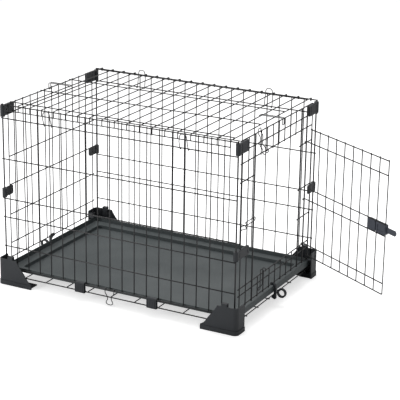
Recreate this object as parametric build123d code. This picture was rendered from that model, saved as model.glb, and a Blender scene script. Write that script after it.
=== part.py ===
from build123d import *
import math
import os

os.makedirs("parts", exist_ok=True)

# Overall grid of the cage
LONG_PITCH = 46.0
LONG_WIRES = 20
END_PITCH = 43.8
END_WIRES = 13
END_MARGIN = 31.2
DEPTH = END_PITCH * (END_WIRES - 1) + 2 * END_MARGIN
HL = LONG_PITCH * (LONG_WIRES - 1) / 2
HD = DEPTH / 2
END_FIRST = -END_PITCH * (END_WIRES - 1) / 2

# Wire radii
UPRIGHT_R = 1.8
ROD_R = 2.0
CORNER_R = 2.5
JAMB_R = 2.6
CLIP_R = 1.5

# Clearances
PLAY = 0.3
CORNER_FACTOR = 1 / math.cos(math.pi / 8)

# Rod heights of the long panels
LONG_RODS = [57.0, 136.0, 240.0, 306.0, 445.0, 586.0, 632.0]
LONG_ROD_OVERHANG = 3.0

# Rod heights of the closed end panel
END_RODS = [86.0, 137.0, 240.0, 345.0, 445.0, 596.0, 628.0]
END_ROD_MARGIN = 27.0

# Door end panel
SILL_RODS = [72.0, 113.0, 137.0]
HEADER_RODS = [553.0, 592.0, 628.0]
FRONT_STUB_RUNGS = [493.0]
BACK_STUB_RUNGS = [240.0, 345.0, 500.0]
FRONT_JAMB = 2
BACK_JAMB = 10
HINGE_WIRE = 11

# Door leaf
DOOR_RUNGS = [104.0, 141.3, 302.0, 342.0, 504.3, 552.0]
DOOR_CURLS = [1, 2, 4]
DOOR_FIRST = 18.0
DOOR_PITCH = 45.5
DOOR_UPRIGHTS = 10
DOOR_REST_ANGLE = 60.0

# Lid
LID_PITCH = 46.0
LID_FIRST = 23.0
LID_ROWS = 4
LID_ROW_FRONT = 15.0
LID_ROW_BACK = 35.0
LIP_DROP = 20.4
LIP_STANDOFF = 8.0

# Base grid
GRID_Z = 29.0
GRID_ROWS = 8
GRID_LONG_PITCH = DEPTH / (GRID_ROWS - 1)
GRID_CROSS_X = [-2, 81, 164, 247, 330, 420, 510, 600, 692, 784, 876]

# Tray
TRAY_OUT_X = 4.0
TRAY_IN_Y = 4.8
TRAY_RIM_TOP = 61.0
TRAY_RIM_DROP = 14.0
TRAY_END_TOP = 65.0
TRAY_END_LOW = 44.0
TRAY_LEDGE_Z = 49.0
TRAY_LEDGE_W = 40.0
TRAY_WALL = 2.4

# Feet
FOOT_OUT = 20.0
FOOT_SKIRT = 2.0
FOOT_WALL = 4.0
FOOT_ARM_X = 112.0
FOOT_ARM_Y = 34.0
FOOT_TOP = 92.0
FOOT_SKIRT_TOP = 15.0
FOOT_SOLE = 4.0
FOOT_CORNER_R = 15.0

# Connectors
SLEEVE_R = 8.0
PLATE_OUT = 6.0
TOP_PLATE_REACH = 66.0
TOP_PLATE_Z = 590.0
TOP_PLATE_H = 38.0
SIDE_PLATE_REACH = 49.0
SIDE_PLATE_H = 31.0

# Derived planes
LENGTH_X = 2 * HL
ROD_OFFSET = UPRIGHT_R + ROD_R
JAMB_SHIFT = JAMB_R - UPRIGHT_R
HINGE_X = HL + JAMB_SHIFT
HINGE_Y = END_FIRST + END_PITCH * HINGE_WIRE
DOOR_CURL_R = (JAMB_R + ROD_R) * CORNER_FACTOR + PLAY
DOOR_X = HINGE_X + DOOR_CURL_R
LID_CURL_R = (UPRIGHT_R + ROD_R) * CORNER_FACTOR + PLAY
CLIP_CURL_R = (CLIP_R + ROD_R) * CORNER_FACTOR + PLAY
HOOK_CURL_R = (CLIP_R + UPRIGHT_R) * CORNER_FACTOR + PLAY
LID_Z = LONG_RODS[-1] + LID_CURL_R
LIP_Z = LID_Z - LIP_DROP
LID_ROW_PITCH = (DEPTH - LID_ROW_FRONT - LID_ROW_BACK) / (LID_ROWS - 1)
TRAY_FLOOR_Z = GRID_Z + ROD_R + 2 * UPRIGHT_R + PLAY


def eight(plane, radius):
    """Eight-sided section with flats square to the plane's own axes."""
    return plane * RegularPolygon(radius, 8, major_radius=False, rotation=22.5)


def wire(start, end, radius, side):
    """Straight eight-sided wire from start to end, one flat facing side."""
    run = Vector(*end) - Vector(*start)
    plane = Plane(origin=start, x_dir=side, z_dir=run)
    return extrude(eight(plane, radius), run.length)


def bent(points, radius, side):
    """Six-sided wire bent along a line of points with mitred corners."""
    path = Polyline(*points)
    run = Vector(*points[1]) - Vector(*points[0])
    plane = Plane(origin=points[0], x_dir=side, z_dir=run)
    section = plane * RegularPolygon(radius, 6, major_radius=False)
    return sweep(section, path=path, transition=Transition.RIGHT)


def arc(centre, radius, first, last, steps):
    """Points of an arc in a flat frame, angles in degrees."""
    out = []
    for i in range(steps + 1):
        a = math.radians(first + (last - first) * i / steps)
        out.append((centre[0] + radius * math.cos(a), centre[1] + radius * math.sin(a)))
    return out


def block(x0, x1, y0, y1, z0, z1):
    """Solid block between two corners."""
    return Pos((x0 + x1) / 2, (y0 + y1) / 2, (z0 + z1) / 2) * Box(x1 - x0, y1 - y0, z1 - z0)


def one(body):
    """The single solid of a result."""
    return body.solids()[0] if len(body.solids()) == 1 else body


def mirror_x(body):
    """Copy on the other end of the cage."""
    return mirror(body, about=Plane.YZ)


def mirror_y(body):
    """Copy on the other long side of the cage."""
    return mirror(body, about=Plane.XZ)


def save(body, name):
    """Write one part to its own file."""
    result = one(body)
    result.label = name
    export_step(result, "parts/" + name + ".step")


# Long panels: uprights in one plane, rods welded on their outer flats
def long_panel():
    uprights = []
    foot = LONG_RODS[0] - ROD_R
    head = LONG_RODS[-1] + ROD_R
    for i in range(LONG_WIRES):
        corner = i in (0, LONG_WIRES - 1)
        r = CORNER_R if corner else UPRIGHT_R
        x = -HL + LONG_PITCH * i
        y = -HD + r - UPRIGHT_R
        uprights.append(wire((x, y, foot), (x, y, head), r, (1, 0, 0)))
    rods = []
    for z in LONG_RODS:
        a = (-HL - LONG_ROD_OVERHANG, -HD - ROD_OFFSET, z)
        b = (HL + LONG_ROD_OVERHANG, -HD - ROD_OFFSET, z)
        rods.append(wire(a, b, ROD_R, (0, 1, 0)))
    return uprights[0].fuse(*uprights[1:], *rods)


front = long_panel()
save(front, "front_panel")
save(mirror_y(front), "back_panel")


# Closed end panel: rods on the inner flats, ending short of the corners
def end_rod(y0, y1, z):
    return wire((HL - ROD_OFFSET, y0, z), (HL - ROD_OFFSET, y1, z), ROD_R, (1, 0, 0))


def end_upright(k, z0, z1, radius):
    x = HL + radius - UPRIGHT_R
    y = END_FIRST + END_PITCH * k
    return wire((x, y, z0), (x, y, z1), radius, (1, 0, 0))


END_Y = HD - END_ROD_MARGIN
END_LOW = END_RODS[0] - ROD_R
END_HIGH = END_RODS[-1] + ROD_R
end_up = [end_upright(k, END_LOW, END_HIGH, UPRIGHT_R) for k in range(END_WIRES)]
end_rods = [end_rod(-END_Y, END_Y, z) for z in END_RODS]
save(mirror_x(end_up[0].fuse(*end_up[1:], *end_rods)), "left_end_panel")

# Door end panel: full uprights at the stubs, short pickets above and below
DOOR_LOW = SILL_RODS[0] - ROD_R
DOOR_HIGH = HEADER_RODS[-1] + ROD_R
pieces = []
for k in range(END_WIRES):
    if k in (FRONT_JAMB, BACK_JAMB, HINGE_WIRE):
        pieces.append(end_upright(k, DOOR_LOW, DOOR_HIGH, JAMB_R))
    elif k < FRONT_JAMB or k > HINGE_WIRE:
        pieces.append(end_upright(k, DOOR_LOW, DOOR_HIGH, UPRIGHT_R))
    else:
        pieces.append(end_upright(k, DOOR_LOW, SILL_RODS[-1] + ROD_R, UPRIGHT_R))
        pieces.append(end_upright(k, HEADER_RODS[0] - ROD_R, DOOR_HIGH, UPRIGHT_R))
for z in SILL_RODS + HEADER_RODS:
    pieces.append(end_rod(-END_Y, END_Y, z))
FRONT_JAMB_Y = END_FIRST + END_PITCH * FRONT_JAMB
BACK_JAMB_Y = END_FIRST + END_PITCH * BACK_JAMB
for z in FRONT_STUB_RUNGS:
    pieces.append(end_rod(-END_Y, FRONT_JAMB_Y + JAMB_R, z))
for z in BACK_STUB_RUNGS:
    pieces.append(end_rod(BACK_JAMB_Y - JAMB_R, END_Y, z))
save(pieces[0].fuse(*pieces[1:]), "door_end_panel")


# Door leaf, drawn shut and then swung to its rest angle
def swung(body):
    turn = Pos(HINGE_X, HINGE_Y, 0) * Rot(0, 0, DOOR_REST_ANGLE) * Pos(-HINGE_X, -HINGE_Y, 0)
    return turn * body


LEAF_X = DOOR_X + ROD_OFFSET
door_y = [HINGE_Y - DOOR_FIRST - DOOR_PITCH * i for i in range(DOOR_UPRIGHTS)]
FREE_Y = door_y[-1]
leaf = []
for i, y in enumerate(door_y):
    low = DOOR_RUNGS[0] - ROD_R
    high = DOOR_RUNGS[-1] + ROD_R
    if i < DOOR_UPRIGHTS - 1:
        leaf.append(wire((LEAF_X, y, low), (LEAF_X, y, high), UPRIGHT_R, (1, 0, 0)))
    else:
        leaf.append(wire((LEAF_X, y, low), (LEAF_X, y, DOOR_RUNGS[2] + ROD_R), UPRIGHT_R, (1, 0, 0)))
        leaf.append(wire((LEAF_X, y, DOOR_RUNGS[3] - ROD_R), (LEAF_X, y, high), UPRIGHT_R, (1, 0, 0)))
for i, z in enumerate(DOOR_RUNGS):
    if i in DOOR_CURLS:
        curl = arc((HINGE_X, HINGE_Y), DOOR_CURL_R, 0, 240, 6)
        pts = [(DOOR_X, FREE_Y - UPRIGHT_R, z)] + [(x, y, z) for x, y in curl]
        leaf.append(bent(pts, ROD_R, (0, 0, 1)))
    else:
        start = (DOOR_X, FREE_Y - UPRIGHT_R, z)
        leaf.append(wire(start, (DOOR_X, door_y[0] + UPRIGHT_R, z), ROD_R, (1, 0, 0)))
save(swung(leaf[0].fuse(*leaf[1:])), "door_panel")

# Door latch: housing over the last two cells and the sliding bolt
LATCH_X0 = DOOR_X - 1.0
LATCH_X1 = DOOR_X + 15.0
LATCH_FREE = FREE_Y - 2.0
LATCH_BACK = LATCH_FREE + 90.0
LATCH_Z0 = DOOR_RUNGS[2] + ROD_R + 2 * PLAY
LATCH_Z1 = DOOR_RUNGS[3] - ROD_R - 2 * PLAY
BOLT_Z0 = 312.0
BOLT_Z1 = 330.0
BOLT_X0 = LEAF_X + UPRIGHT_R + 1.6
BOLT_T = 3.2
BOLT_REACH = 45.0
BOLT_INSIDE = 52.0
BOLT_TRAVEL = 30.0
KNOB_FIRST = 34.0
KNOB_LONG = 12.0
housing = block(LATCH_X0, LATCH_X1, LATCH_FREE, LATCH_BACK, LATCH_Z0, LATCH_Z1)
housing = fillet(housing.edges().filter_by(Axis.Y).group_by(Axis.X)[-1], 4)
housing = chamfer(housing.edges().group_by(Axis.X)[-1].filter_by(Axis.Z), 2)
mid_y = door_y[-2]
gap = UPRIGHT_R + 2 * PLAY
housing = housing - block(LATCH_X0 - 1, LEAF_X + gap, mid_y - gap, mid_y + gap, LATCH_Z0 - 1, LATCH_Z1 + 1)
bz0 = BOLT_Z0 - PLAY
bz1 = BOLT_Z1 + PLAY
bx0 = BOLT_X0 - PLAY
bx1 = BOLT_X0 + BOLT_T + PLAY
CAVITY_END = LATCH_FREE + BOLT_INSIDE + BOLT_TRAVEL + 1
housing = housing - block(bx0, bx1, LATCH_FREE - 1, CAVITY_END, bz0, bz1)
SLOT_Y0 = LATCH_FREE + KNOB_FIRST - 1
SLOT_Y1 = SLOT_Y0 + KNOB_LONG + BOLT_TRAVEL + 2
housing = housing - block(bx1 - 1, LATCH_X1 + 1, SLOT_Y0, SLOT_Y1, 316, 326)
housing = housing - block(LATCH_X0 - 1, LATCH_X0 + 2.2, LATCH_FREE + 6, mid_y - 8, 311, 332)
save(swung(housing), "door_latch_housing")

bolt = block(BOLT_X0, BOLT_X0 + BOLT_T, LATCH_FREE - BOLT_REACH, LATCH_FREE + BOLT_INSIDE, BOLT_Z0, BOLT_Z1)
bolt = chamfer(bolt.edges().filter_by(Axis.X).group_by(Axis.Y)[0], 5)
knob = block(BOLT_X0 + 1, LATCH_X1 + 5, SLOT_Y0 + 1, SLOT_Y0 + 1 + KNOB_LONG, 316.5, 325.5)
knob = fillet(knob.edges().group_by(Axis.X)[-1], 2)
save(swung(bolt.fuse(knob)), "door_latch_bolt")

# Keeper loop on the front stub, inside the jamb and bulging out near the corner
KEEPER_Z = (339.0, 351.0)
KEEPER_IN = HL - UPRIGHT_R - CLIP_R - 0.05
KEEPER_OUT = HL + UPRIGHT_R + CLIP_R + 0.05
KEEPER_BULGE = HL + 9.0
KEEPER_TIP = 140.0
lower = [(KEEPER_OUT, 20.0), (KEEPER_OUT, 36.0), (KEEPER_BULGE, 45.0), (KEEPER_BULGE, 54.0)]
lower = lower + [(KEEPER_IN, 69.0), (KEEPER_IN, KEEPER_TIP - 4)]
kz0, kz1 = KEEPER_Z
loop = [(x, y - HD, kz0) for x, y in lower]
loop = loop + [(KEEPER_IN, KEEPER_TIP - HD, kz0 + 4), (KEEPER_IN, KEEPER_TIP - HD, kz1 - 4)]
loop = loop + [(x, y - HD, kz1) for x, y in reversed(lower)]
save(bent(loop, CLIP_R, (0, 0, 1)), "latch_keeper")

# Upper door hook: two legs woven through the header, J foot outside
UPPER_HALF = 10.0
UPPER_MID = END_FIRST + END_PITCH * (FRONT_JAMB + 1)
UPPER_DROP = 18.0
WEAVE_IN = HL - ROD_OFFSET - ROD_R - CLIP_R - PLAY
WEAVE_OUT = HL - UPRIGHT_R + PLAY + CLIP_R
HOOK_X = DOOR_X + ROD_R + 0.8 + CLIP_R


def woven(ya, yb, leg, tip):
    """Two legs with one shared end bar; leg runs from the bar to the tip."""
    one_side = [(x, ya, z) for x, z in leg]
    other = [(x, yb, z) for x, z in leg]
    pts = list(reversed(one_side)) + other
    return bent(pts, CLIP_R, tip)


foot_x = HOOK_X
HOOK_BEND = 5.0
HOOK_RISE = 10.0
low = DOOR_RUNGS[-1] + ROD_R + CLIP_R + 1.5 + HOOK_BEND
high = HEADER_RODS[-1] + 2 * ROD_R + 4
weave = HEADER_RODS[-2] + ROD_R + UPPER_DROP
curl = arc((foot_x + HOOK_BEND, low), HOOK_BEND, 180, 360, 4)
leg = [(WEAVE_IN, high), (WEAVE_IN, weave + 10), (WEAVE_OUT, weave), (WEAVE_OUT, low + 2 * HOOK_RISE)]
leg = leg + [(foot_x, low + HOOK_RISE)] + curl + [(foot_x + 2 * HOOK_BEND, low + HOOK_RISE - 2)]
hook = woven(UPPER_MID - UPPER_HALF, UPPER_MID + UPPER_HALF, leg, (0, 1, 0))
save(hook, "upper_door_hook")

# Lower door hook: two legs woven through the sill, head turned over and down
LOWER_HALF = 8.0
LOWER_ASIDE = 29.4
LOWER_MID = UPPER_MID + LOWER_ASIDE
HEAD_R = (DOOR_X - WEAVE_OUT + ROD_R + CLIP_R + 1.4) / 2
head_z = DOOR_RUNGS[1] + ROD_R + 8.7
head = arc((WEAVE_OUT + HEAD_R, head_z), HEAD_R, 180, 0, 4)
low = SILL_RODS[0] + 8.5
leg = [(WEAVE_IN, low), (WEAVE_IN, low + 7.5), (WEAVE_OUT, low + 17.5)]
leg = leg + head + [(WEAVE_OUT + 2 * HEAD_R, head_z - 5.8)]
hook = woven(LOWER_MID - LOWER_HALF, LOWER_MID + LOWER_HALF, leg, (0, 1, 0))
save(hook, "lower_door_hook")

# Lid: cross wires curled round the back top rod and bent down in front
HINGE_BACK_Y = HD + ROD_OFFSET
LIP_Y = -HD - LIP_STANDOFF
LID_X = [-HL + LID_FIRST + LID_PITCH * i for i in range(LONG_WIRES - 1)]
lid = []
for x in LID_X:
    pts = [(x, LIP_Y, LIP_Z - UPRIGHT_R), (x, LIP_Y, LID_Z - 2), (x, LIP_Y + 2, LID_Z)]
    turn = arc((HINGE_BACK_Y, LONG_RODS[-1]), LID_CURL_R, 90, -150, 5)
    pts = pts + [(x, y, z) for y, z in turn]
    lid.append(bent(pts, UPRIGHT_R, (1, 0, 0)))
lid_a = LID_X[0] - UPRIGHT_R
lid_b = LID_X[-1] + UPRIGHT_R
for i in range(LID_ROWS):
    y = LID_ROW_FRONT + LID_ROW_PITCH * i - HD
    z = LID_Z + 2 * UPRIGHT_R
    lid.append(wire((lid_a, y, z), (lid_b, y, z), UPRIGHT_R, (0, 0, 1)))
y = LIP_Y - 2 * UPRIGHT_R
lid.append(wire((lid_a, y, LIP_Z), (lid_b, y, LIP_Z), UPRIGHT_R, (0, 0, 1)))
save(lid[0].fuse(*lid[1:]), "top_lid")

# Base grid: long wires with cross wires on top
grid = []
for i in range(GRID_ROWS):
    y = -HD + GRID_LONG_PITCH * i
    grid.append(wire((-HL - 4, y, GRID_Z), (HL + 4, y, GRID_Z), ROD_R, (0, 0, 1)))
for x in GRID_CROSS_X:
    z = GRID_Z + ROD_R + UPRIGHT_R
    grid.append(wire((x - HL, -HD - 2, z), (x - HL, HD + 2, z), UPRIGHT_R, (0, 0, 1)))
save(grid[0].fuse(*grid[1:]), "base_grid")

# Tray: stepped pan with a rim along the panels and tall ends
tx = HL + TRAY_OUT_X
ty = HD - TRAY_IN_Y
t = TRAY_WALL
pan_y = ty - TRAY_LEDGE_W
pan_x = tx - TRAY_LEDGE_W
zf = TRAY_FLOOR_Z
tray = block(-pan_x - t, pan_x + t, -pan_y - t, pan_y + t, zf, TRAY_LEDGE_Z)
tray = fillet(tray.edges().filter_by(Axis.Z), 14)
ledge = block(-tx, tx, -ty, ty, TRAY_RIM_TOP - TRAY_RIM_DROP, TRAY_LEDGE_Z)
rim = block(-tx, tx, -ty, ty, TRAY_RIM_TOP - TRAY_RIM_DROP, TRAY_RIM_TOP)
rim = rim - block(-tx + t, tx - t, -ty + t, ty - t, 0, 100)
tray = tray.fuse(ledge, rim)
pan = block(-pan_x, pan_x, -pan_y, pan_y, zf + t, 100)
pan = fillet(pan.edges().filter_by(Axis.Z), 12)
tray = tray - pan
for s in (-1, 1):
    a, b = sorted((s * tx, s * (tx - t)))
    tray = tray.fuse(block(a, b, -ty, ty, TRAY_END_LOW, TRAY_END_TOP))
edges = tray.edges().filter_by(Axis.Z).filter_by(lambda e: abs(abs(e.center().X) - tx) < 0.01)
try:
    tray = fillet(edges, 2.0)
except Exception:
    tray = tray
save(tray, "tray")


# Feet: L-shaped shell with sloping arms, sole, rests and a clip-on lug
def ell(outer, inner, radius):
    """L-shaped plan between two offsets, both corners rounded about one centre."""
    c = outer + radius
    r = c - inner
    q = math.sqrt(0.5)
    edge = [ThreePointArc((outer, c), (c - radius * q, c - radius * q), (c, outer))]
    edge = edge + [Line((c, outer), (FOOT_ARM_X, outer)), Line((FOOT_ARM_X, outer), (FOOT_ARM_X, inner))]
    edge = edge + [Line((FOOT_ARM_X, inner), (c, inner))]
    edge = edge + [ThreePointArc((c, inner), (c - r * q, c - r * q), (inner, c))]
    edge = edge + [Line((inner, c), (inner, FOOT_ARM_Y)), Line((inner, FOOT_ARM_Y), (outer, FOOT_ARM_Y))]
    edge = edge + [Line((outer, FOOT_ARM_Y), (outer, c))]
    return make_face(edge)


def foot(end_rod_z):
    o = -FOOT_OUT
    w = FOOT_WALL
    shell = extrude(ell(o, o + w, FOOT_CORNER_R), FOOT_TOP)
    lip = FOOT_SKIRT_TOP + 2
    ax = FOOT_ARM_X
    slope = [(ax, lip), (ax - 16, lip + 12), (ax - 29, lip + 31), (ax - 45, lip + 51), (ax - 60, FOOT_TOP)]
    top = FOOT_TOP + 30
    line = [Spline(*slope), Line((ax - 60, FOOT_TOP), (ax - 60, top)), Line((ax - 60, top), (ax + 20, top))]
    line = line + [Line((ax + 20, top), (ax + 20, lip)), Line((ax + 20, lip), (ax, lip))]
    cutter = Plane(origin=(0, -60, 0), x_dir=(1, 0, 0), z_dir=(0, -1, 0)) * make_face(line)
    shell = shell - extrude(cutter, -80)
    shell = chamfer(shell.edges().group_by(Axis.Y)[-1].filter_by(Axis.X).group_by(Axis.Z)[-1], FOOT_WALL - 1)
    skirt = ell(o - FOOT_SKIRT, o + w / 2, FOOT_CORNER_R + FOOT_SKIRT)
    body = shell + extrude(skirt, FOOT_SKIRT_TOP)
    in_edge = o + w - 1
    body = body + block(in_edge, FOOT_ARM_X - 6, in_edge, 26, 0, FOOT_SOLE)
    body = body + block(in_edge, 26, in_edge, FOOT_ARM_Y - 2, 0, FOOT_SOLE)
    body = body + block(12, 60, -4, 4, FOOT_SOLE - 1, GRID_Z - ROD_R - PLAY)
    body = body + block(12, 50, in_edge, -3, FOOT_SOLE - 1, LONG_RODS[0] - ROD_R - PLAY)
    shelf_top = end_rod_z - ROD_R - PLAY
    body = body + block(in_edge, 5, 27, 33, TRAY_END_TOP + 0.8, shelf_top)
    body = body + block(18, 37, o, -ROD_OFFSET - ROD_R - 0.4, FOOT_TOP - 6, FOOT_TOP + 10)
    return body


def placed(part, sx, sy):
    """Foot or connector for the corner with signs sx and sy."""
    body = Pos(-HL, -HD, 0) * part
    if sx > 0:
        body = mirror_x(body)
    if sy > 0:
        body = mirror_y(body)
    return body


CORNERS = [("front_left", -1, -1), ("front_right", 1, -1), ("back_left", -1, 1), ("back_right", 1, 1)]
for name, sx, sy in CORNERS:
    rest = END_RODS[0] if sx < 0 else SILL_RODS[0]
    save(placed(foot(rest), sx, sy), "foot_" + name)


# Corner connectors: sleeve on the corner upright, plate over the end wires
def connector(reach, z0, z1):
    shift = CORNER_R - UPRIGHT_R
    body = block(-PLATE_OUT, 1.5, 4, reach, z0, z1)
    body = chamfer(body.edges().filter_by(Axis.X).group_by(Axis.Y)[-1], 4)
    body = chamfer(body.edges().group_by(Axis.X)[0].filter_by(Axis.Y), 1.5)
    body = body + Pos(0, shift, z0) * extrude(RegularPolygon(SLEEVE_R, 12, major_radius=False), z1 - z0)
    k = 0
    while k < 3:
        y = HD + END_FIRST + END_PITCH * k
        free = UPRIGHT_R + PLAY
        body = body - block(-free, 4, y - free, y + free, z0 - 1, z1 + 1)
        k = k + 1
    hole = eight(Plane(origin=(0, shift, z0 - 1)), CORNER_R + PLAY)
    body = body - extrude(hole, z1 - z0 + 2)
    mid = 16.0
    for y in (mid, reach - 10):
        body = body - block(-PLATE_OUT - 1, -PLATE_OUT + 1, y - 1.5, y + 1.5, z0 + 6, z1 - 6)
    return body


for name, sx, sy in CORNERS:
    body = connector(TOP_PLATE_REACH, TOP_PLATE_Z, TOP_PLATE_Z + TOP_PLATE_H)
    save(placed(body, sx, sy), "top_connector_" + name)
SIDE_Z = {"front_left": 309.0, "front_right": 244.0, "back_left": 312.0, "back_right": 312.0}
SIDE_REACH = {"front_right": 82.0}
for name, sx, sy in CORNERS:
    z0 = SIDE_Z[name]
    reach = SIDE_REACH.get(name, SIDE_PLATE_REACH)
    save(placed(connector(reach, z0, z0 + SIDE_PLATE_H), sx, sy), "side_connector_" + name)


# Base clips: ribbed blocks holding the bottom rod and the base wire
BASE_CLIP_W = 36.0
BASE_CLIP_X = (299.0, 575.0)


def base_clip(xc):
    ro = -ROD_OFFSET
    pts = [(-9, 24.5), (4.5, 24.5), (4.5, 30.9), (2.3, 36), (2.3, 61.5), (-9, 61.5)]
    face = Plane(origin=(0, 0, 0), x_dir=(0, 1, 0), z_dir=(1, 0, 0)) * make_face(Polyline(*pts, close=True))
    body = extrude(face, BASE_CLIP_W)
    body = chamfer(body.edges().filter_by(Axis.X).group_by(Axis.Y)[0], 2.5)
    for y, z in ((ro, LONG_RODS[0]), (0.0, GRID_Z)):
        hole = eight(Plane(origin=(-1, y, z), x_dir=(0, 1, 0), z_dir=(1, 0, 0)), ROD_R + 0.15)
        body = body - extrude(hole, BASE_CLIP_W + 2)
    for i in range(4):
        x = 4.5 + 9 * i
        body = body - block(x - 1, x + 1, -10, -8, 28, 58)
    return Pos(xc - BASE_CLIP_W / 2 - HL, -HD, 0) * body


for name, xc in zip(("left", "right"), BASE_CLIP_X):
    clip = base_clip(xc)
    save(clip, "base_clip_front_" + name)
    save(mirror_y(clip), "base_clip_back_" + name)


# Wire clips: a closed loop with both feet curled round a rod
def wire_clip(xc, half, rod_z, side, tip):
    """Loop in the outward and height frame, feet turned round the rod."""
    ro = -ROD_OFFSET
    curl = arc((ro, rod_z), CLIP_CURL_R, 0, 180 if side < 0 else -180, 4)
    out = [(xc - half, y, z) for y, z in curl]
    for dx, y, z in tip:
        out.append((xc - dx, y, z))
    out = out + [(2 * xc - x, y, z) for x, y, z in reversed(out)]
    moved = [(x - HL, y - HD, z) for x, y, z in out]
    return bent(moved, CLIP_R, (1, 0, 0))


CLIP_X = (184.0, 690.0)
CLIP_HALF = 14.5
CLIP_REACH = 48.0
BACK_CLIP_REACH = 60.0
BASE_CLIP_REACH = 51.5
clip_z = LONG_RODS[5]
lip_out = LIP_STANDOFF + 3 * UPRIGHT_R + CLIP_R + 0.6
curl_out = ROD_OFFSET + LID_CURL_R + UPRIGHT_R + CLIP_R + 0.8
base_out = ROD_OFFSET + CLIP_CURL_R


def clip_tip(half, out, lean, reach):
    """Loop corners beyond the curled foot, narrowing to the closed end."""
    top = clip_z + reach
    return [(half, -out, clip_z + lean), (half - 2.5, -out, top - 6), (half / 2, -out, top)]


front_tip = clip_tip(CLIP_HALF, lip_out, 23, CLIP_REACH)
back_tip = clip_tip(CLIP_HALF, curl_out, 30, BACK_CLIP_REACH)
BASE_WIRE_CLIP_X = 416.0
BASE_WIRE_CLIP_HALF = 17.0
base_end = LONG_RODS[0] - BASE_CLIP_REACH
base_tip = [(BASE_WIRE_CLIP_HALF, -base_out, base_end + 40.5), (7.0, -base_out, base_end + 26.5)]
base_tip = base_tip + [(7.0, -base_out, base_end + 18.5), (14.0, -base_out, base_end + 6.5)]
base_tip = base_tip + [(8.0, -base_out, base_end)]
for name, xc in zip(("left", "right"), CLIP_X):
    save(wire_clip(xc, CLIP_HALF, clip_z, 1, front_tip), "wire_clip_front_" + name)
    save(mirror_y(wire_clip(xc, CLIP_HALF, clip_z, 1, back_tip)), "wire_clip_back_" + name)
base_clip_wire = wire_clip(BASE_WIRE_CLIP_X, BASE_WIRE_CLIP_HALF, LONG_RODS[0], -1, base_tip)
save(base_clip_wire, "wire_clip_base_front")

# Lid hooks: double wire turned round a cross wire and bent down at the end
HOOK_Y = 6.0
HOOK_HALF = 6.0
HOOK_WIRE = LONG_WIRES - 3
px = LID_X[HOOK_WIRE]
turn = arc((px, LID_Z), HOOK_CURL_R, 330 - 120, 90, 4)
turn = [(x, z) for x, z in turn]
hz = LID_Z + HOOK_CURL_R
HOOK_DROP = 23.3
HOOK_OUT = 11.0
shape = turn + [(HL + HOOK_OUT - 4, hz), (HL + HOOK_OUT, hz - 4), (HL + HOOK_OUT, hz - HOOK_DROP)]
side_a = [(x, HOOK_Y - HOOK_HALF, z) for x, z in shape]
side_b = [(x, HOOK_Y + HOOK_HALF, z) for x, z in reversed(shape)]
hook = bent(side_a + side_b, CLIP_R, (0, 1, 0))
save(hook, "lid_hook_right")
save(mirror_x(hook), "lid_hook_left")

# End latches: eye on the end panel's bottom rod, toe under the base wire, finger ring
LATCH_Y = 284.0
LATCH_T = 8.0
RING_R = 16.5
RING_HOLE = 10.8
RING_U = 33.0
RING_Z = 45.0


def end_latch(rod_z):
    eye_u = -ROD_OFFSET
    eye = ROD_R * CORNER_FACTOR + PLAY
    frame = Plane(origin=(0, 0, 0), x_dir=(1, 0, 0), z_dir=(0, -1, 0))
    arm = Polyline((eye_u - 2, rod_z + 5), (eye_u + 4, rod_z + 5), (12, rod_z - 4), (13, 46),
                   (13, 21), (9, 18), (-2, 23), (-2, 29.6), (5.2, 29.6), (5.2, 66.5),
                   (eye_u, rod_z - 5), (eye_u - 2, rod_z - 4), close=True)
    flat = make_face(arm)
    flat = flat.fuse(Pos(eye_u, rod_z) * Circle(5.2), Pos(RING_U, RING_Z) * Circle(RING_R))
    flat = flat - Pos(RING_U, RING_Z) * Circle(RING_HOLE) - Pos(eye_u, rod_z) * Circle(eye)
    body = Pos(0, LATCH_T / 2, 0) * extrude(frame * flat, LATCH_T)
    body = body - block(-8, 5.2, -10, 10, TRAY_FLOOR_Z - 5, TRAY_END_TOP + 0.9)
    body = body + block(-2, 6, -LATCH_T / 2, LATCH_T / 2, 24, 29.6)
    return Pos(HL, LATCH_Y - HD, 0) * body


save(end_latch(SILL_RODS[0]), "end_latch_right")
save(mirror_x(end_latch(END_RODS[0])), "end_latch_left")
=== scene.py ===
import bpy
import numpy as np
from mathutils import Euler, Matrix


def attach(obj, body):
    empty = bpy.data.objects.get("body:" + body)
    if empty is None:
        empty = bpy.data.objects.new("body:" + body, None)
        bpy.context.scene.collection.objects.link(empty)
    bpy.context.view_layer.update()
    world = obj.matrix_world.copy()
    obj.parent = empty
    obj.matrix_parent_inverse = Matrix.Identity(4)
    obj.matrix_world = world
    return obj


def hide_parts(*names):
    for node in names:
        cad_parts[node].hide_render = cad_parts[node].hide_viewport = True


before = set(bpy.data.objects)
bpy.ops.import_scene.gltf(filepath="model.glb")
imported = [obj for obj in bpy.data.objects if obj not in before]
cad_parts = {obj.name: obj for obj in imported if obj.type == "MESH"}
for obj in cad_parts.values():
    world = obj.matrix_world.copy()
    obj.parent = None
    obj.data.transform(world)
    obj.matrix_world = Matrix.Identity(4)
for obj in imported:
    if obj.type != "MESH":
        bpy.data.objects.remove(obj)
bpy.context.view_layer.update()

# Long side panels. Straight steel wires, resistance welded where they cross,
# then dipped in black powder coat. Uprights stand in one plane and the rods
# lie on their outer side, a little thicker at the corners.
LENGTH = 874.0
DEPTH = 588.0
HL = LENGTH / 2
HD = DEPTH / 2
UPRIGHT_R = 1.8
ROD_R = 2.0
CORNER_R = 2.5
LONG_PITCH = 46.0
LONG_WIRES = 20
LONG_RODS = np.array([57.0, 136.0, 240.0, 306.0, 445.0, 586.0, 632.0])
ROD_OVERHANG = 3.0
SIDE_WELD = (2.0, 1.0, 2.1)


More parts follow.
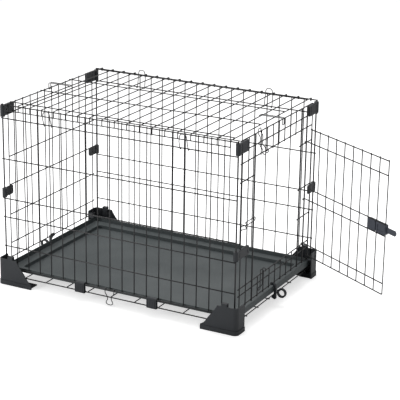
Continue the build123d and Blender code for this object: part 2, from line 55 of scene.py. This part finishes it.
def tube(path, side, radius, sides=12):
    """Round wire p(u, v) = c(u) + r (cos v n(u) + sin v b(u)). c is the path,
    t its unit tangent, n the side vector made square to t, and b = t x n.
    Each end closes on a pole that stands a third of the radius proud."""
    c = np.asarray(path, float)
    t = np.gradient(c, axis=0)
    t = t / np.linalg.norm(t, axis=1, keepdims=True)
    s = np.asarray(side, float)
    n = s - (t @ s)[:, None] * t
    n = n / np.linalg.norm(n, axis=1, keepdims=True)
    b = np.cross(t, n)
    v = np.linspace(0, 2 * np.pi, sides, endpoint=False)
    around = np.cos(v)[None, :, None] * n[:, None, :] + np.sin(v)[None, :, None] * b[:, None, :]
    ring = c[:, None, :] + radius * around
    poles = np.array([c[0] - t[0] * radius / 3, c[-1] + t[-1] * radius / 3])
    points = np.vstack([ring.reshape(-1, 3), poles])
    i = np.arange(len(c) - 1)[:, None] * sides
    j = np.arange(sides)[None, :]
    k = (j + 1) % sides
    quads = np.stack([i + j, i + k, i + sides + k, i + sides + j], -1).reshape(-1, 4)
    last = len(c) * sides
    j, k = j[0], k[0]
    cap_a = np.stack([np.full(sides, last), k, j], -1)
    cap_b = np.stack([np.full(sides, last + 1), last - sides + j, last - sides + k], -1)
    return points, quads, np.vstack([cap_a, cap_b])


def beads(centres, radii, across=8, down=4):
    """Weld beads p(a, e) = m + (rx sin e cos a, ry sin e sin a, rz cos e) at
    every centre m, with a round the bead and e from its top pole to its foot."""
    m = np.asarray(centres, float).reshape(-1, 3)
    a = np.linspace(0, 2 * np.pi, across, endpoint=False)
    e = np.linspace(0, np.pi, down + 1)[1:-1]
    grid = np.stack([np.outer(np.sin(e), np.cos(a)), np.outer(np.sin(e), np.sin(a)),
                     np.outer(np.cos(e), np.ones(across))], -1).reshape(-1, 3)
    one = np.vstack([grid, [[0, 0, 1], [0, 0, -1]]]) * np.asarray(radii, float)
    points = (m[:, None, :] + one[None, :, :]).reshape(-1, 3)
    i = np.arange(down - 2)[:, None] * across
    j = np.arange(across)[None, :]
    k = (j + 1) % across
    quads = np.stack([i + j, i + across + j, i + across + k, i + k], -1).reshape(-1, 4)
    low = (down - 2) * across
    j, k = j[0], k[0]
    top = np.stack([np.full(across, low + across), j, k], -1)
    end = np.stack([np.full(across, low + across + 1), low + k, low + j], -1)
    tris = np.vstack([top, end])
    step = (np.arange(len(m)) * len(one))[:, None, None]
    return points, (quads[None] + step).reshape(-1, 4), (tris[None] + step).reshape(-1, 3)


def rounded(corners, radius, steps=5):
    """A bent line: each corner c becomes the curve (1-s)^2 a + 2s(1-s) c + s^2 b,
    where a and b lie the given distance before and after it, or under half a run."""
    p = np.asarray(corners, float)
    run = np.diff(p, axis=0)
    size = np.linalg.norm(run, axis=1)
    unit = run / size[:, None]
    cut = np.minimum(radius, 0.45 * np.minimum(size[:-1], size[1:]))[:, None]
    a = p[1:-1] - unit[:-1] * cut
    b = p[1:-1] + unit[1:] * cut
    s = np.linspace(0, 1, steps)[None, :, None]
    bend = (1 - s) ** 2 * a[:, None] + 2 * s * (1 - s) * p[1:-1][:, None] + s ** 2 * b[:, None]
    return np.vstack([p[:1], bend.reshape(-1, 3), p[-1:]])


def curl(centre, radius, first, last, steps=14):
    """Points c + r (cos a, sin a) of a wire turned round another, a in degrees."""
    a = np.radians(np.linspace(first, last, steps))
    return np.stack([centre[0] + radius * np.cos(a), centre[1] + radius * np.sin(a)], -1)


def piece(name, shells, material, body, nodes):
    """One mesh from shells in millimetres, riding on a body in place of its nodes."""
    start = np.cumsum([0] + [len(s[0]) for s in shells])
    points = np.vstack([s[0] for s in shells]) / 1000
    faces = []
    for s, o in zip(shells, start):
        faces.extend((s[1] + o).tolist())
        faces.extend((s[2] + o).tolist())
    mesh = bpy.data.meshes.new(name)
    mesh.from_pydata(points.tolist(), [], faces)
    mesh.polygons.foreach_set("use_smooth", np.ones(len(mesh.polygons), bool))
    mesh.materials.append(material)
    obj = bpy.data.objects.new(name, mesh)
    bpy.context.scene.collection.objects.link(obj)
    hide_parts(*nodes)
    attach(obj, body)
    return obj


def coat_grain():
    """Fine relief and slow colour drift from two noises on the same point."""
    g = bpy.data.node_groups.new("coat_grain", "ShaderNodeTree")
    for label, kind, way in (("Point", "NodeSocketVector", "INPUT"), ("Grain", "NodeSocketFloat", "INPUT"),
                             ("Drift", "NodeSocketFloat", "INPUT"), ("Height", "NodeSocketFloat", "OUTPUT"),
                             ("Shade", "NodeSocketFloat", "OUTPUT")):
        g.interface.new_socket(name=label, in_out=way, socket_type=kind)
    a = g.nodes.new("NodeGroupInput")
    z = g.nodes.new("NodeGroupOutput")
    fine = g.nodes.new("ShaderNodeTexNoise")
    fine.inputs["Detail"].default_value = 5.0
    fine.inputs["Roughness"].default_value = 0.6
    slow = g.nodes.new("ShaderNodeTexNoise")
    slow.inputs["Detail"].default_value = 3.0
    g.links.new(a.outputs["Point"], fine.inputs["Vector"])
    g.links.new(a.outputs["Point"], slow.inputs["Vector"])
    g.links.new(a.outputs["Grain"], fine.inputs["Scale"])
    g.links.new(a.outputs["Drift"], slow.inputs["Scale"])
    g.links.new(fine.outputs["Fac"], z.inputs["Height"])
    g.links.new(slow.outputs["Fac"], z.inputs["Shade"])
    return g


def settled_dust():
    """Dust mask: how far a face looks up, times a patchy noise, over a threshold."""
    g = bpy.data.node_groups.new("settled_dust", "ShaderNodeTree")
    for label, kind, way in (("Point", "NodeSocketVector", "INPUT"), ("Patch", "NodeSocketFloat", "INPUT"),
                             ("Amount", "NodeSocketFloat", "INPUT"), ("Mask", "NodeSocketFloat", "OUTPUT")):
        g.interface.new_socket(name=label, in_out=way, socket_type=kind)
    a = g.nodes.new("NodeGroupInput")
    z = g.nodes.new("NodeGroupOutput")
    geo = g.nodes.new("ShaderNodeNewGeometry")
    up = g.nodes.new("ShaderNodeSeparateXYZ")
    g.links.new(geo.outputs["Normal"], up.inputs["Vector"])
    noise = g.nodes.new("ShaderNodeTexNoise")
    noise.inputs["Detail"].default_value = 6.0
    g.links.new(a.outputs["Point"], noise.inputs["Vector"])
    g.links.new(a.outputs["Patch"], noise.inputs["Scale"])
    spread = g.nodes.new("ShaderNodeMapRange")
    spread.inputs["From Min"].default_value = 0.4
    spread.inputs["From Max"].default_value = 0.75
    g.links.new(noise.outputs["Fac"], spread.inputs["Value"])
    facing = g.nodes.new("ShaderNodeMath")
    facing.operation = "MULTIPLY"
    facing.use_clamp = True
    g.links.new(up.outputs["Z"], facing.inputs[0])
    g.links.new(spread.outputs["Result"], facing.inputs[1])
    weight = g.nodes.new("ShaderNodeMath")
    weight.operation = "MULTIPLY"
    g.links.new(facing.outputs[0], weight.inputs[0])
    g.links.new(a.outputs["Amount"], weight.inputs[1])
    g.links.new(weight.outputs[0], z.inputs["Mask"])
    return g


GRAIN = coat_grain()
DUST = settled_dust()


# The colour mix node's sockets: its amount, its two colours and its result.
MIX_AMOUNT, MIX_A, MIX_B, MIXED = 0, 6, 7, 2


def finish(name, dark, light, dust, rough, grain, drift, relief, patch, amount, coat=0.0):
    """Material whose colour drifts from dark to light, with dust on what looks up.
    grain, drift and patch are noises' scales, rough the roughness from and to."""
    m = bpy.data.materials.new(name)
    m.use_nodes = True
    t = m.node_tree
    s = t.nodes["Principled BSDF"]
    s.inputs["Coat Weight"].default_value = coat
    s.inputs["Coat Roughness"].default_value = 0.25
    where = t.nodes.new("ShaderNodeTexCoord")
    g = t.nodes.new("ShaderNodeGroup")
    g.node_tree = GRAIN
    g.inputs["Grain"].default_value = grain
    g.inputs["Drift"].default_value = drift
    t.links.new(where.outputs["Object"], g.inputs["Point"])
    d = t.nodes.new("ShaderNodeGroup")
    d.node_tree = DUST
    d.inputs["Patch"].default_value = patch
    d.inputs["Amount"].default_value = amount
    t.links.new(where.outputs["Object"], d.inputs["Point"])
    body = t.nodes.new("ShaderNodeMix")
    body.data_type = "RGBA"
    body.inputs[MIX_A].default_value = (*dark, 1)
    body.inputs[MIX_B].default_value = (*light, 1)
    t.links.new(g.outputs["Shade"], body.inputs[MIX_AMOUNT])
    top = t.nodes.new("ShaderNodeMix")
    top.data_type = "RGBA"
    top.inputs[MIX_B].default_value = (*dust, 1)
    t.links.new(d.outputs["Mask"], top.inputs[MIX_AMOUNT])
    t.links.new(body.outputs[MIXED], top.inputs[MIX_A])
    t.links.new(top.outputs[MIXED], s.inputs["Base Color"])
    r = t.nodes.new("ShaderNodeMapRange")
    r.inputs["To Min"].default_value = rough[0]
    r.inputs["To Max"].default_value = rough[1]
    t.links.new(g.outputs["Height"], r.inputs["Value"])
    t.links.new(r.outputs["Result"], s.inputs["Roughness"])
    bump = t.nodes.new("ShaderNodeBump")
    bump.inputs["Strength"].default_value = relief
    bump.inputs["Distance"].default_value = 0.0004
    t.links.new(g.outputs["Height"], bump.inputs["Height"])
    t.links.new(bump.outputs["Normal"], s.inputs["Normal"])
    return m


POWDER_COAT = finish("black_powder_coat", dark=(0.006, 0.006, 0.007), light=(0.020, 0.020, 0.022),
                     dust=(0.08, 0.08, 0.08), rough=(0.36, 0.58), grain=900.0, drift=14.0,
                     relief=0.35, patch=40.0, amount=0.08, coat=0.05)


def upright(x, y, z0, z1, radius):
    """A straight wire standing at (x, y)."""
    return tube([(x, y, z0), (x, y, z1)], (1, 0, 0), radius)


def rod(a, b, radius):
    """A straight wire lying from a to b."""
    return tube([a, b], (0, 0, 1), radius)


def long_panel(way):
    """Twenty uprights and seven rods on one long side, way -1 front, +1 back."""
    x = -HL + LONG_PITCH * np.arange(LONG_WIRES)
    foot, head = LONG_RODS[0] - ROD_R, LONG_RODS[-1] + ROD_R
    shells = [upright(v, way * HD, foot, head, UPRIGHT_R) for v in x[1:-1]]
    inset = CORNER_R - UPRIGHT_R
    shells += [upright(v, way * (HD - inset), foot, head, CORNER_R) for v in x[[0, -1]]]
    y = way * (HD + UPRIGHT_R + ROD_R)
    end = HL + ROD_OVERHANG
    shells += [rod((-end, y, z), (end, y, z), ROD_R) for z in LONG_RODS]
    gx, gz = np.meshgrid(x, LONG_RODS)
    middle = np.full(gx.size, way * (HD + UPRIGHT_R))
    shells.append(beads(np.stack([gx.ravel(), middle, gz.ravel()], -1), SIDE_WELD))
    return shells


piece("front_wires", long_panel(-1), POWDER_COAT, "cage", ["front_panel"])
piece("back_wires", long_panel(1), POWDER_COAT, "cage", ["back_panel"])

# Closed end panel. The same wires at a closer pitch, with the rods welded on
# the inner side and cut short of the corners, where moulded sleeves take over.
END_PITCH = 43.8
END_WIRES = 13
END_Y = END_PITCH * (np.arange(END_WIRES) - (END_WIRES - 1) / 2)
END_RODS = np.array([86.0, 137.0, 240.0, 345.0, 445.0, 596.0, 628.0])
END_REACH = HD - 27.0
ROD_IN = UPRIGHT_R + ROD_R
END_WELD = (1.0, 2.0, 2.1)


def end_welds(x, spots):
    """Beads at each (y, z) of an end panel or door, in the plane x."""
    spots = np.asarray(spots, float)
    return beads(np.column_stack([np.full(len(spots), x), spots]), END_WELD)


def crossings(a, b):
    """Every pair of a value of a with a value of b, the values of b changing slowest."""
    first, second = np.meshgrid(a, b)
    return np.stack([first.ravel(), second.ravel()], -1)


shells = [upright(-HL, y, END_RODS[0] - ROD_R, END_RODS[-1] + ROD_R, UPRIGHT_R) for y in END_Y]
inner = -HL + ROD_IN
shells += [rod((inner, -END_REACH, z), (inner, END_REACH, z), ROD_R) for z in END_RODS]
shells.append(end_welds(-HL + UPRIGHT_R, crossings(END_Y, END_RODS)))
piece("left_end_wires", shells, POWDER_COAT, "cage", ["left_end_panel"])

# Door end panel. Full uprights only beside the doorway, thicker at the two
# jambs and at the wire the door hangs on, with short pickets in sill and head.
JAMB_R = 2.6
SILL = [72.0, 113.0, 137.0]
HEADER = [553.0, 592.0, 628.0]
FRONT_STUB = 493.0
BACK_STUBS = (240.0, 345.0, 500.0)
LOW, HIGH = SILL[0] - ROD_R, HEADER[-1] + ROD_R
JAMB_X = HL + JAMB_R - UPRIGHT_R
shells = [upright(JAMB_X, END_Y[k], LOW, HIGH, JAMB_R) for k in (2, 10, 11)]
shells += [upright(HL, END_Y[k], LOW, HIGH, UPRIGHT_R) for k in (0, 1, 12)]
shells += [upright(HL, END_Y[k], LOW, SILL[-1] + ROD_R, UPRIGHT_R) for k in range(3, 10)]
shells += [upright(HL, END_Y[k], HEADER[0] - ROD_R, HIGH, UPRIGHT_R) for k in range(3, 10)]
inner = HL - ROD_IN
shells += [rod((inner, -END_REACH, z), (inner, END_REACH, z), ROD_R) for z in SILL + HEADER]
shells.append(rod((inner, -END_REACH, FRONT_STUB), (inner, END_Y[2] + JAMB_R, FRONT_STUB), ROD_R))
shells += [rod((inner, END_Y[10] - JAMB_R, z), (inner, END_REACH, z), ROD_R) for z in BACK_STUBS]
spots = [crossings(END_Y, SILL + HEADER), crossings(END_Y[:3], [FRONT_STUB])]
spots.append(crossings(END_Y[10:], BACK_STUBS))
shells.append(end_welds(HL - UPRIGHT_R, np.vstack(spots)))
piece("door_end_wires", shells, POWDER_COAT, "cage", ["door_end_panel"])

# Door. A welded grid that hangs on the hinge wire by three of its rungs, each
# curled round it, drawn shut and then turned to where the photograph has it.
HINGE_Y = END_Y[11]
PLAY = 0.3
CORNER_FACTOR = 1 / np.cos(np.pi / 8)
DOOR_CURL_R = (JAMB_R + ROD_R) * CORNER_FACTOR + PLAY
DOOR_X = JAMB_X + DOOR_CURL_R
LEAF_X = DOOR_X + ROD_IN
RUNGS = [104.0, 141.3, 302.0, 342.0, 504.3, 552.0]
CURLED_RUNGS = (1, 2, 4)
HINGE_GAP = 18.0
DOOR_PITCH = 45.5
DOOR_WIRES = 10
door_y = HINGE_Y - HINGE_GAP - DOOR_PITCH * np.arange(DOOR_WIRES)
FREE_Y = door_y[-1]


def swung(shells, degrees=60.0):
    """Turns points about the hinge wire: (x, y) by the angle round its axis."""
    a = np.radians(degrees)
    turn = np.array([[np.cos(a), np.sin(a), 0], [-np.sin(a), np.cos(a), 0], [0, 0, 1]])
    hinge = np.array([JAMB_X, HINGE_Y, 0])
    return [((p - hinge) @ turn + hinge, q, r) for p, q, r in shells]


shells = [upright(LEAF_X, y, RUNGS[0] - ROD_R, RUNGS[-1] + ROD_R, UPRIGHT_R) for y in door_y[:-1]]
shells.append(upright(LEAF_X, FREE_Y, RUNGS[0] - ROD_R, RUNGS[2] + ROD_R, UPRIGHT_R))
shells.append(upright(LEAF_X, FREE_Y, RUNGS[3] - ROD_R, RUNGS[-1] + ROD_R, UPRIGHT_R))
for i, z in enumerate(RUNGS):
    start = [DOOR_X, FREE_Y - UPRIGHT_R]
    end = [[DOOR_X, door_y[0] + UPRIGHT_R]]
    if i in CURLED_RUNGS:
        end = curl((JAMB_X, HINGE_Y), DOOR_CURL_R, 0, 240)
    flat = np.vstack([[start], end])
    shells.append(tube(np.column_stack([flat, np.full(len(flat), z)]), (0, 0, 1), ROD_R))
shells.append(end_welds(DOOR_X + ROD_R, crossings(door_y, RUNGS)))
piece("door_wires", swung(shells), POWDER_COAT, "door", ["door_panel"])

# Lid. Nineteen cross wires curled round the back top rod, bent down over the
# front to a lip wire, with four long wires welded across their upper side.
LID_CURL_R = (UPRIGHT_R + ROD_R) * CORNER_FACTOR + PLAY
LID_Z = LONG_RODS[-1] + LID_CURL_R
LID_X = -HL + LONG_PITCH * (np.arange(LONG_WIRES - 1) + 0.5)
LIP_STANDOFF = 8.0
LIP_DROP = 20.4
LIP_Y = -HD - LIP_STANDOFF
LIP_Z = LID_Z - LIP_DROP
LID_ROWS = 4
LID_ROW_FRONT = 15.0
LID_ROW_BACK = 35.0
FLAT_WELD = (1.9, 1.9, 0.9)
LIP_WELD = (1.9, 0.9, 1.9)


def flat_welds(x, y, z):
    """Beads at every crossing of wires x with wires y, on the level z."""
    spots = crossings(x, y)
    return beads(np.column_stack([spots, np.full(len(spots), z)]), FLAT_WELD)


bar = [(0, LIP_Y, LIP_Z - UPRIGHT_R), (0, LIP_Y, LID_Z), (0, HD, LID_Z)]
front_bend = rounded(bar, 3.0)
turn = curl((HD + ROD_IN, LONG_RODS[-1]), LID_CURL_R, 90, -150)
line = np.vstack([front_bend[:-1], np.column_stack([np.zeros(len(turn)), turn])])
shells = [tube(line + [x, 0, 0], (1, 0, 0), UPRIGHT_R) for x in LID_X]
ends = (LID_X[0] - UPRIGHT_R, LID_X[-1] + UPRIGHT_R)
LID_Y = np.linspace(LID_ROW_FRONT, DEPTH - LID_ROW_BACK, LID_ROWS) - HD
over = LID_Z + 2 * UPRIGHT_R
shells += [rod((ends[0], y, over), (ends[1], y, over), UPRIGHT_R) for y in LID_Y]
lip = LIP_Y - 2 * UPRIGHT_R
shells.append(rod((ends[0], lip, LIP_Z), (ends[1], lip, LIP_Z), UPRIGHT_R))
shells.append(flat_welds(LID_X, LID_Y, LID_Z + UPRIGHT_R))
shells.append(beads([(x, LIP_Y - UPRIGHT_R, LIP_Z) for x in LID_X], LIP_WELD))
piece("lid_wires", shells, POWDER_COAT, "lid", ["top_lid"])

# Base grid. Long wires on the ledges of the feet with cross wires on top,
# which carry the tray and show as a thin line below its rim.
GRID_Z = 29.0
GRID_ROWS = 8
GRID_END = HL + 4.0
GRID_SIDE = HD + 2.0
grid_y = np.linspace(-HD, HD, GRID_ROWS)
grid_x = np.array([-2, 81, 164, 247, 330, 420, 510, 600, 692, 784, 876]) - HL
cross_z = GRID_Z + ROD_R + UPRIGHT_R
shells = [rod((-GRID_END, y, GRID_Z), (GRID_END, y, GRID_Z), ROD_R) for y in grid_y]
shells += [rod((x, -GRID_SIDE, cross_z), (x, GRID_SIDE, cross_z), UPRIGHT_R) for x in grid_x]
shells.append(flat_welds(grid_x, grid_y, GRID_Z + ROD_R))
piece("base_wires", shells, POWDER_COAT, "cage", ["base_grid"])

# Small bent wires: the keeper that takes the door bolt and the two hooks that
# slide on the door end. Thin spring wire, bent on a former and coated black.
CLIP_R = 1.5
KEEPER_Z = 339.0
KEEPER_TALL = 12.0
KEEPER_PROUD = HL + 9.0
WELD_GAP = 0.05
inside = HL - UPRIGHT_R - CLIP_R - WELD_GAP
outside = HL + UPRIGHT_R + CLIP_R + WELD_GAP
side = [(outside, 20.0), (outside, 36.0), (KEEPER_PROUD, 45.0), (KEEPER_PROUD, 54.0)]
side += [(inside, 69.0), (inside, 134.0)]
lower = np.array([(x, y - HD, KEEPER_Z) for x, y in side])
tip = np.array([(inside, 140.0 - HD, KEEPER_Z + 2.0), (inside, 140.0 - HD, KEEPER_Z + 10.0)])
upper = lower[::-1] + [0, 0, KEEPER_TALL]
loop = rounded(np.vstack([lower, tip, upper]), 4.0)
piece("keeper_wire", [tube(loop, (1, 0, 0.2), CLIP_R)], POWDER_COAT, "cage", ["latch_keeper"])


def two_legs(ya, yb, leg):
    """One wire up the leg (x, z) at ya, across its head and down the same at yb."""
    a = np.column_stack([leg[:, 0], np.full(len(leg), ya), leg[:, 1]])
    b = a + [0, yb - ya, 0]
    line = rounded(np.vstack([a[::-1], b]), 3.0, 4)
    return tube(line, (0.35, 0.9, 0.25), CLIP_R)


weave_in = HL - ROD_IN - ROD_R - CLIP_R - PLAY
weave_out = HL - UPRIGHT_R + PLAY + CLIP_R
foot_x = DOOR_X + ROD_R + 0.8 + CLIP_R
FOOT_R = 5.0
leg = [(weave_in, 636.0), (weave_in, 622.0), (weave_out, 612.0), (weave_out, 582.0), (foot_x, 572.0)]
foot = curl((foot_x + FOOT_R, 562.0), FOOT_R, 180, 360, 7)
leg = np.vstack([leg, foot, [(foot_x + 2 * FOOT_R, 570.0)]])
shape = two_legs(END_Y[3] - 10.0, END_Y[3] + 10.0, leg)
piece("upper_hook_wire", [shape], POWDER_COAT, "upper_hook", ["upper_door_hook"])
HEAD_R = 5.49
leg = [(weave_in, 80.5), (weave_in, 88.0), (weave_out, 98.0)]
head = curl((weave_out + HEAD_R, 152.0), HEAD_R, 180, 0, 7)
leg = np.vstack([leg, head, [(weave_out + 2 * HEAD_R, 146.2)]])
shape = two_legs(END_Y[3] + 21.4, END_Y[3] + 37.4, leg)
piece("lower_hook_wire", [shape], POWDER_COAT, "lower_hook", ["lower_door_hook"])

# Loose wire clips. Each is one wire with both feet curled round a rod and a
# closed loop at the far end, brighter than the panels where fingers rub it.
CLIP_FINISH = finish("rubbed_clip_coat", dark=(0.010, 0.010, 0.011), light=(0.035, 0.035, 0.037),
                     dust=(0.12, 0.12, 0.12), rough=(0.22, 0.42), grain=1100.0, drift=30.0,
                     relief=0.25, patch=60.0, amount=0.06, coat=0.3)
CLIP_CURL_R = (CLIP_R + ROD_R) * CORNER_FACTOR + PLAY
TOP_CLIP_HALF = 14.5
TOP_CLIP_ROD = LONG_RODS[5]


def wire_clip(x, half, rod_z, last, tip, way):
    """Half a loop (x, y, z) from a foot curled round the rod, then its mirror image."""
    foot = curl((-ROD_IN, rod_z), CLIP_CURL_R, 0, last, 12)
    a = np.column_stack([np.full(len(foot), -half), foot])
    a = np.vstack([a, [(-dx, y, z) for dx, y, z in tip]])
    loop = np.vstack([a, a[::-1] * [-1, 1, 1]])
    line = rounded(loop, 4.0, 4) + [x - HL, -HD, 0]
    return tube(line * [1, -way, 1], (0.9, 0.35, 0.25), CLIP_R)


def clip_tip(out, steps):
    """The loop's half outline: (half width, height) steps, all the same way out."""
    return [(half, -out, z) for half, z in steps]


front_tip = clip_tip(15.5, [(TOP_CLIP_HALF, 609.0), (12.0, 628.0), (7.25, 634.0)])
back_tip = clip_tip(12.31, [(TOP_CLIP_HALF, 616.0), (12.0, 640.0), (7.25, 646.0)])
for hand, x in (("left", 4 * LONG_PITCH), ("right", 15 * LONG_PITCH)):
    for face, tip, way in (("front", front_tip, -1), ("back", back_tip, 1)):
        shape = wire_clip(x, TOP_CLIP_HALF, TOP_CLIP_ROD, -180, tip, way)
        piece(f"{face}_clip_wire_{hand}", [shape], CLIP_FINISH, f"clip_{face}_{hand}",
              [f"wire_clip_{face}_{hand}"])
BASE_CLIP_X = 416.0
BASE_CLIP_HALF = 17.0
base_tip = clip_tip(7.9, [(BASE_CLIP_HALF, 46.0), (7.0, 32.0), (7.0, 24.0), (14.0, 12.0), (8.0, 5.5)])
shape = wire_clip(BASE_CLIP_X, BASE_CLIP_HALF, LONG_RODS[0], 180, base_tip, -1)
piece("base_clip_wire", [shape], CLIP_FINISH, "clip_base_front", ["wire_clip_base_front"])

# Lid hooks. A double wire turned round a lid wire, lying over the outermost
# one and bent down outside each end panel to hold the lid shut.
HOOK_CURL_R = (CLIP_R + UPRIGHT_R) * CORNER_FACTOR + PLAY
HOOK_WIDE = 12.0
HOOK_TIP_Z = 617.0
hook_x = HL + 11.0
root = curl((LID_X[-2], LID_Z), HOOK_CURL_R, 210, 90, 12)
arm = np.vstack([root, [(hook_x, LID_Z + HOOK_CURL_R), (hook_x, HOOK_TIP_Z)]])
for hand, way, body in (("right", 1, "hook_right"), ("left", -1, "hook_left")):
    a = np.column_stack([arm[:, 0], np.zeros(len(arm)), arm[:, 1]])
    line = rounded(np.vstack([a, a[::-1] + [0, HOOK_WIDE, 0]]), 4.0, 4)
    shape = tube(line * [way, 1, 1], (0.25, 0.9, 0.35), CLIP_R)
    piece("lid_hook_wire_" + hand, [shape], CLIP_FINISH, body, ["lid_hook_" + hand])

# Moulded corner parts: feet, sleeves, base clips and ring latches in a tough
# black polyolefin with a fine spark-eroded grain, greyer where it is handled.
CORNER_PLASTIC = finish("corner_plastic_grain", dark=(0.011, 0.013, 0.016), light=(0.026, 0.030, 0.036),
                        dust=(0.11, 0.11, 0.11), rough=(0.42, 0.62), grain=1600.0, drift=9.0,
                        relief=0.45, patch=18.0, amount=0.16)
CORNER_PARTS = ("foot_", "top_connector_", "side_connector_", "base_clip_", "end_latch_")


def mould(material, starts):
    """Gives the material to every solid whose name starts with one of the words."""
    for name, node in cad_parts.items():
        if name.startswith(starts):
            node.data.materials.clear()
            node.data.materials.append(material)


mould(CORNER_PLASTIC, CORNER_PARTS)

# Door latch. A housing clipped over the last two cells of the door and a flat
# bolt with a thumb knob, both in the same blue-grey plastic.
LATCH_PLASTIC = finish("latch_plastic_grain", dark=(0.050, 0.056, 0.072), light=(0.085, 0.094, 0.118),
                       dust=(0.20, 0.20, 0.20), rough=(0.38, 0.56), grain=1500.0, drift=22.0,
                       relief=0.4, patch=30.0, amount=0.10)
mould(LATCH_PLASTIC, ("door_latch_",))

# Tray. Vacuum-formed sheet plastic with a stepped rim, dark grey-green, with a
# leathery grain and the faint dust and scuffs of a floor pan.
TRAY_PLASTIC = finish("tray_plastic_grain", dark=(0.038, 0.047, 0.049), light=(0.064, 0.077, 0.080),
                      dust=(0.15, 0.16, 0.16), rough=(0.45, 0.66), grain=500.0, drift=3.0,
                      relief=0.6, patch=6.0, amount=0.22)
mould(TRAY_PLASTIC, ("tray",))

# Studio: a pale floor that the camera sees as white with the cage's shadow on
# it, two soft lamps and an even sky, seen from the photograph's place.
FLOOR_HALF = 9.0
FLOOR_GLOW = 0.60
SKY_LIGHT = 0.46
SKY_SEEN = 1.0
mesh = bpy.data.meshes.new("studio_floor")
corners = [(x * FLOOR_HALF, y * FLOOR_HALF, 0) for x, y in ((-1, -1), (1, -1), (1, 1), (-1, 1))]
mesh.from_pydata(corners, [], [(0, 1, 2, 3)])
floor = bpy.data.objects.new("studio_floor", mesh)
bpy.context.scene.collection.objects.link(floor)
m = bpy.data.materials.new("studio_floor_paint")
m.use_nodes = True
t = m.node_tree
s = t.nodes["Principled BSDF"]
s.inputs["Base Color"].default_value = (0.82, 0.82, 0.82, 1)
s.inputs["Roughness"].default_value = 0.9
s.inputs["Specular IOR Level"].default_value = 0.1
s.inputs["Emission Color"].default_value = (1, 1, 1, 1)
path = t.nodes.new("ShaderNodeLightPath")
seen = t.nodes.new("ShaderNodeMath")
seen.operation = "MULTIPLY"
seen.inputs[1].default_value = FLOOR_GLOW
t.links.new(path.outputs["Is Camera Ray"], seen.inputs[0])
t.links.new(seen.outputs[0], s.inputs["Emission Strength"])
mesh.materials.append(m)

world = bpy.data.worlds.new("studio_sky")
bpy.context.scene.world = world
world.use_nodes = True
t = world.node_tree
sky = t.nodes["Background"]
path = t.nodes.new("ShaderNodeLightPath")
power = t.nodes.new("ShaderNodeMapRange")
power.inputs["To Min"].default_value = SKY_LIGHT
power.inputs["To Max"].default_value = SKY_SEEN
t.links.new(path.outputs["Is Camera Ray"], power.inputs["Value"])
t.links.new(power.outputs["Result"], sky.inputs["Strength"])
sky.inputs["Color"].default_value = (1, 1, 1, 1)


def lamp(name, place, turn, size, power):
    """A round soft lamp, its place in metres, its turn in degrees, its power in watts."""
    data = bpy.data.lights.new(name, "AREA")
    data.shape = "DISK"
    data.size = size
    data.energy = power
    obj = bpy.data.objects.new(name, data)
    obj.location = place
    obj.rotation_euler = Euler([np.radians(a) for a in turn])
    bpy.context.scene.collection.objects.link(obj)


lamp("soft_lamp_over", (-0.5, 0.9, 2.9), (-16, -10, 0), 2.2, 62)
lamp("soft_lamp_front", (-2.0, -2.2, 1.2), (66, 0, -38), 1.2, 34)

eye = bpy.data.cameras.new("photo_camera")
eye.sensor_width = 36.0
eye.lens = 133.82
camera = bpy.data.objects.new("photo_camera", eye)
camera.location = (2.36352, -4.19459, 1.90310)
camera.rotation_euler = Euler([np.radians(a) for a in (71.465, -0.8512, 28.0788)])
bpy.context.scene.collection.objects.link(camera)
bpy.context.scene.camera = camera
bpy.context.scene.view_settings.view_transform = "Standard"
